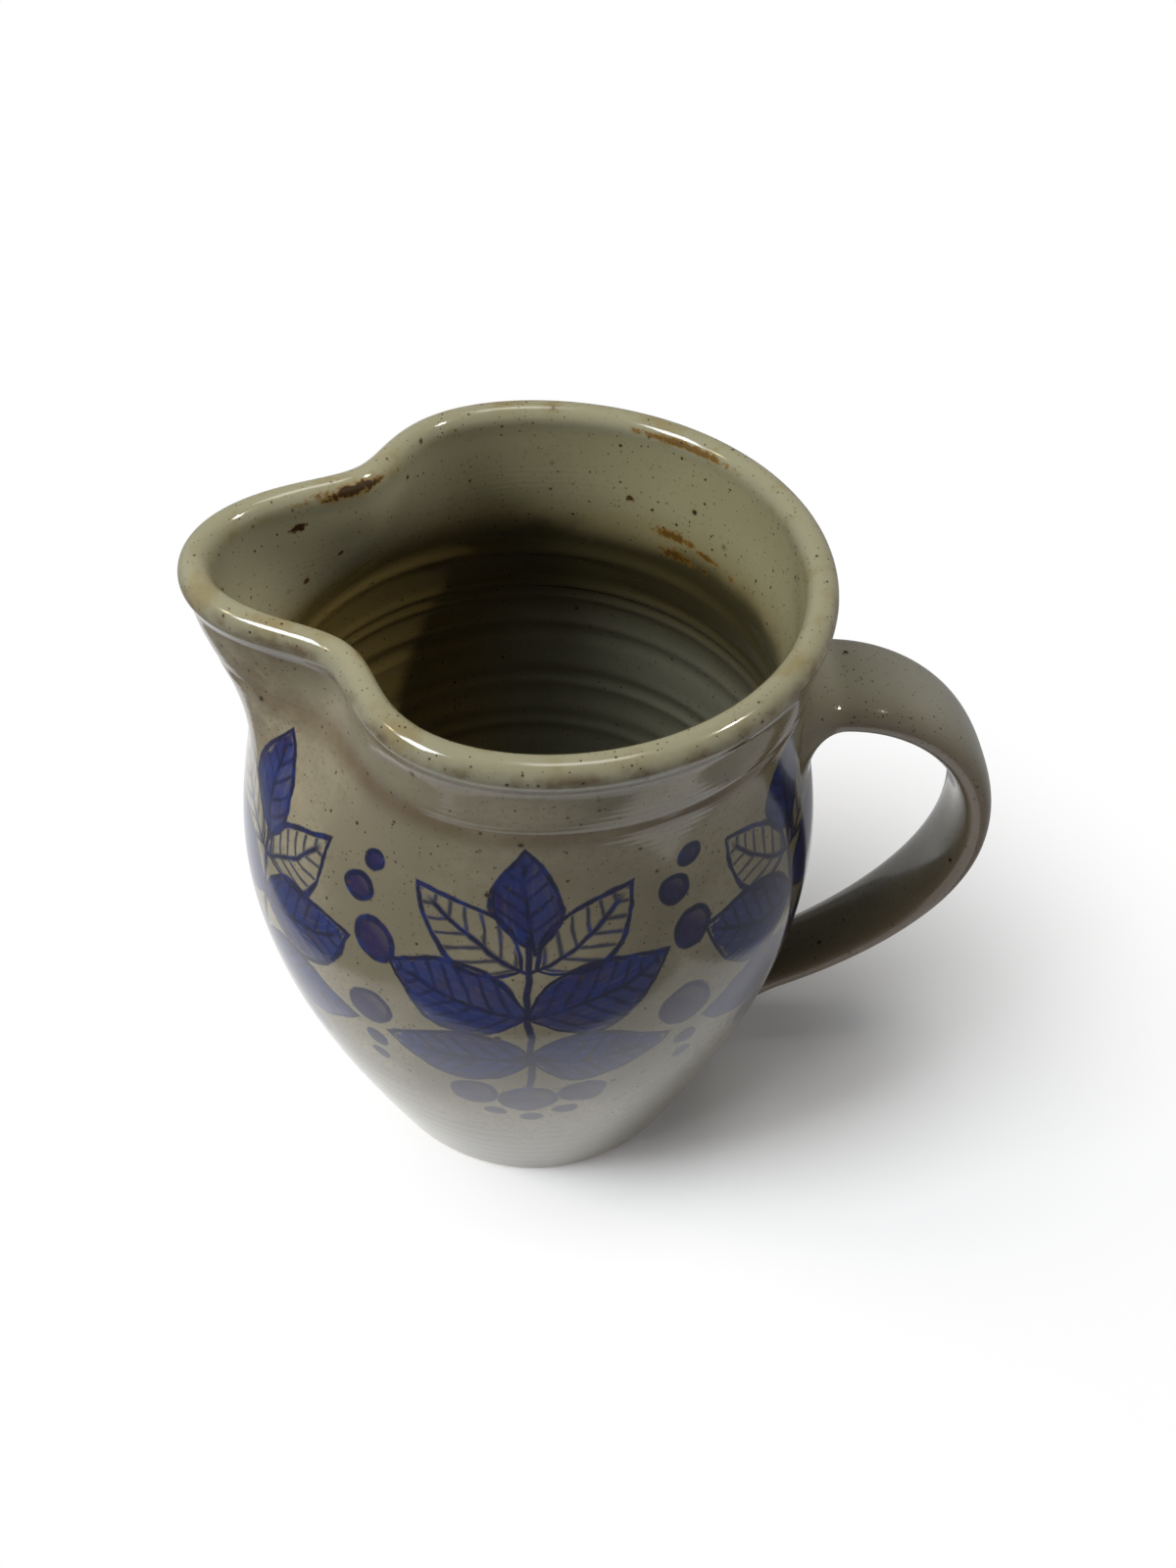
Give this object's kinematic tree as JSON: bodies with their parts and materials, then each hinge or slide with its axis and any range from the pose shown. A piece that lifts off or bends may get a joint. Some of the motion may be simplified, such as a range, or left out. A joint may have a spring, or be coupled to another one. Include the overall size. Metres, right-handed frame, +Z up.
{
  "type": "stoneware pitcher",
  "caption": "Hand-thrown glazed stoneware pitcher with a full belly, upright collar, pulled pouring spout and a pulled strap handle luted on opposite the spout.",
  "frame": {"origin": "centre of the flat base that the pitcher rests on", "axes": "+Z up along the throwing axis, +X towards the handle, -X towards the spout"},
  "size_m": [0.16, 0.1202, 0.1547],
  "materials": {
    "body_glaze": "glossy grey-olive speckled stoneware glaze with a cobalt brush design",
    "handle_glaze": "glossy grey-olive speckled stoneware glaze",
    "joint_glaze": "glossy grey-olive stoneware glaze, smoothed over the joint"
  },
  "bodies": {
    "root": {"thrown_body": "body_glaze", "strap_handle": "handle_glaze", "upper_joint": "joint_glaze", "lower_joint": "joint_glaze"}
  },
  "joints": []
}
